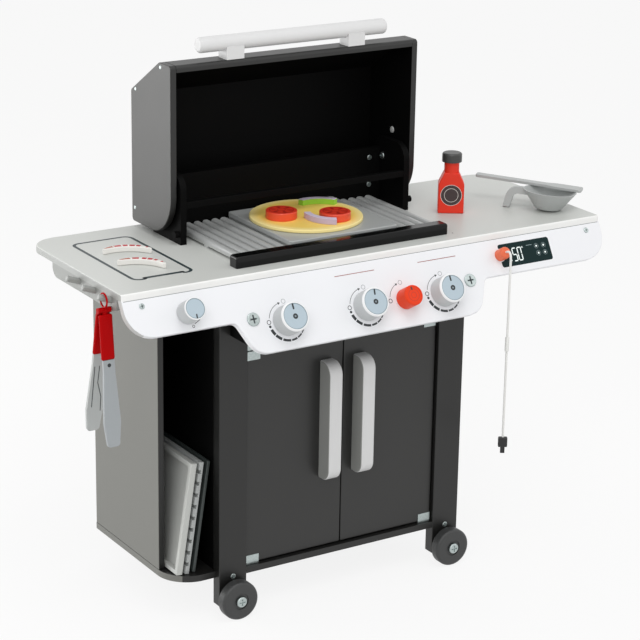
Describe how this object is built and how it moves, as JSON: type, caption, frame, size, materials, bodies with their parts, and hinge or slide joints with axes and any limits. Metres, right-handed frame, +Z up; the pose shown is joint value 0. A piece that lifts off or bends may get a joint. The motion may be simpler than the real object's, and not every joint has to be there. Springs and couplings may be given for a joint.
{
  "type": "toy barbecue grill",
  "caption": "Play barbecue of painted boards on a two-door cabinet, with a swing-up hood, sloped knob panel, grate, play food and hanging tongs.",
  "frame": {"origin": "on the floor, under the middle of the whole grill's box", "axes": "+X to the right along the counter, +Y to the back, +Z up; the user stands at -Y"},
  "size_m": [1.0352, 0.4412, 1.008],
  "materials": {
    "counter_paint": "satin light grey paint",
    "panel_paint": "satin white paint",
    "black_paint": "satin black paint",
    "gloss_black_paint": "gloss black paint",
    "grey_paint": "satin grey paint",
    "silver_paint": "silver paint",
    "bare_board": "painted batten",
    "zinc": "bright zinc plate",
    "wheel_plastic": "moulded dark grey",
    "knob_plastic": "moulded light grey",
    "red_plastic": "moulded red",
    "display_window": "glossy printed window",
    "orange_plastic": "moulded orange",
    "cord_white": "soft white",
    "connector_black": "moulded black",
    "grate_plastic": "moulded grey",
    "griddle_plastic": "satin grey",
    "pizza_wood": "painted",
    "topping_wood": "painted",
    "food_white": "painted white and red",
    "bottle_red": "moulded red",
    "utensil_grey": "moulded grey",
    "tongs_red": "moulded red",
    "spare_light": "moulded light grey",
    "spare_dark": "moulded dark grey"
  },
  "bodies": {
    "frame": {"countertop": "counter_paint", "control_panel": "panel_paint", "inner_battens": "bare_board", "panel_cam_bolts": "zinc", "cross_head_screws": "zinc", "thermometer_panel": "display_window", "peg_rail": "grey_paint", "base_board": "black_paint", "side_panels": "black_paint", "back_panel": "black_paint", "posts": "black_paint", "wheel_axles": "zinc", "door_header": "black_paint", "door_hinge_fixings": "zinc", "magnet_catch": "connector_black", "front_rail": "gloss_black_paint", "support_plates": "black_paint", "firebox_boards": "black_paint", "lid_pivot_bolts": "zinc", "grill_grate": "grate_plastic"},
    "lid": {"lid_cheeks": "black_paint", "lid_front_lip": "black_paint", "lid_slope_panel": "black_paint", "lid_top_panel": "black_paint", "lid_back_panel": "black_paint", "lid_handle_bar": "silver_paint", "lid_handle_standoffs": "silver_paint"},
    "left_door": {"left_door": "black_paint", "left_door_handle": "silver_paint", "left_door_hinge_plates": "zinc"},
    "right_door": {"right_door": "black_paint", "right_door_handle": "silver_paint", "right_door_hinge_plates": "zinc"},
    "wheel_left": {"wheel_left": "wheel_plastic"},
    "wheel_right": {"wheel_right": "wheel_plastic"},
    "side_knob": {"side_knob": "knob_plastic"},
    "burner_knob_left": {"burner_knob_left": "knob_plastic"},
    "burner_knob_middle": {"burner_knob_middle": "knob_plastic"},
    "burner_knob_right": {"burner_knob_right": "knob_plastic"},
    "igniter_knob": {"igniter_knob": "red_plastic"},
    "tongs_front": {"tongs_front_grip": "tongs_red", "tongs_front_blade": "utensil_grey"},
    "tongs_back": {"tongs_back_grip": "tongs_red", "tongs_back_blade": "utensil_grey"},
    "griddle": {"griddle_tray": "griddle_plastic"},
    "pizza": {"pizza_base": "pizza_wood", "pizza_toppings": "topping_wood"},
    "food_back": {"food_piece_back": "food_white"},
    "food_front": {"food_piece_front": "food_white"},
    "bottle": {"bottle": "bottle_red", "bottle_cap": "connector_black"},
    "bowl": {"bowl": "utensil_grey"},
    "spatula": {"spatula": "utensil_grey"},
    "spare_tray": {"spare_tray": "spare_light"},
    "spare_grate": {"spare_grate": "griddle_plastic"},
    "spare_plate": {"spare_plate": "spare_dark"},
    "probe": {"probe_plug": "orange_plastic", "probe_cord": "cord_white", "probe_sleeve": "cord_white", "probe_connector": "connector_black"}
  },
  "joints": [
    {"name": "lid_swing", "type": "hinge", "parent": "frame", "child": "lid", "pos_m": [-0.02412, 0.1356, 0.736], "axis": [1, 0, 0], "range_deg": [0, 90]},
    {"name": "left_door_swing", "type": "hinge", "parent": "frame", "child": "left_door", "pos_m": [-0.21662, -0.0924, 0.088], "axis": [0, 0, -1], "range_deg": [0, 105]},
    {"name": "wheel_left_roll", "type": "hinge", "parent": "frame", "child": "wheel_left", "pos_m": [-0.25562, -0.1364, 0.036], "axis": [0, 1, 0], "continuous": true},
    {"name": "right_door_swing", "type": "hinge", "parent": "frame", "child": "right_door", "pos_m": [0.16638, -0.0924, 0.088], "axis": [0, 0, 1], "range_deg": [0, 105]},
    {"name": "wheel_right_roll", "type": "hinge", "parent": "frame", "child": "wheel_right", "pos_m": [0.20538, -0.1364, 0.036], "axis": [0, 1, 0], "continuous": true},
    {"name": "side_knob_turn", "type": "hinge", "parent": "frame", "child": "side_knob", "pos_m": [-0.37562, -0.15765, 0.60239], "axis": [0, -0.866, 0.5], "range_deg": [0, 90]},
    {"name": "burner_knob_left_turn", "type": "hinge", "parent": "frame", "child": "burner_knob_left", "pos_m": [-0.19452, -0.179, 0.56541], "axis": [0, -0.866, 0.5], "range_deg": [0, 240]},
    {"name": "burner_knob_middle_turn", "type": "hinge", "parent": "frame", "child": "burner_knob_middle", "pos_m": [-0.03162, -0.179, 0.56541], "axis": [0, -0.866, 0.5], "range_deg": [0, 240]},
    {"name": "burner_knob_right_turn", "type": "hinge", "parent": "frame", "child": "burner_knob_right", "pos_m": [0.13128, -0.179, 0.56541], "axis": [0, -0.866, 0.5], "range_deg": [0, 240]},
    {"name": "igniter_knob_turn", "type": "hinge", "parent": "frame", "child": "igniter_knob", "pos_m": [0.04988, -0.179, 0.56541], "axis": [0, -0.866, 0.5], "range_deg": [0, 90]},
    {"name": "tongs_swing", "type": "hinge", "parent": "frame", "child": "tongs_front", "pos_m": [-0.50212, -0.1024, 0.62897], "axis": [1, 0, 0], "range_deg": [-20, 20]},
    {"name": "tongs_squeeze", "type": "hinge", "parent": "tongs_front", "child": "tongs_back", "pos_m": [-0.50212, -0.1024, 0.61207], "axis": [-1, 0, 0], "range_deg": [0, 15]},
    {"name": "griddle_lift", "type": "slide", "parent": "frame", "child": "griddle", "axis": [0, 0, 1], "range_m": [0, 0.01]},
    {"name": "pizza_lift", "type": "slide", "parent": "griddle", "child": "pizza", "axis": [0, 0, 1], "range_m": [0, 0.007]},
    {"name": "food_back_lift", "type": "slide", "parent": "frame", "child": "food_back", "axis": [0, 0, 1], "range_m": [0, 0.06]},
    {"name": "food_front_lift", "type": "slide", "parent": "frame", "child": "food_front", "axis": [0, 0, 1], "range_m": [0, 0.06]},
    {"name": "bottle_lift", "type": "slide", "parent": "frame", "child": "bottle", "axis": [0, 0, 1], "range_m": [0, 0.06]},
    {"name": "bowl_lift", "type": "slide", "parent": "frame", "child": "bowl", "axis": [0, 0, 1], "range_m": [0, 0.05]},
    {"name": "spatula_lift", "type": "slide", "parent": "bowl", "child": "spatula", "axis": [0, 0, 1], "range_m": [0, 0.05]},
    {"name": "spare_tray_slide", "type": "slide", "parent": "frame", "child": "spare_tray", "axis": [0, -1, 0], "range_m": [0, 0.095]},
    {"name": "spare_grate_slide", "type": "slide", "parent": "frame", "child": "spare_grate", "axis": [0, -1, 0], "range_m": [0, 0.095]},
    {"name": "spare_plate_slide", "type": "slide", "parent": "frame", "child": "spare_plate", "axis": [0, -1, 0], "range_m": [0, 0.095]},
    {"name": "probe_pull", "type": "slide", "parent": "frame", "child": "probe", "axis": [0, -0.866, 0.5], "range_m": [0, 0.03]}
  ]
}
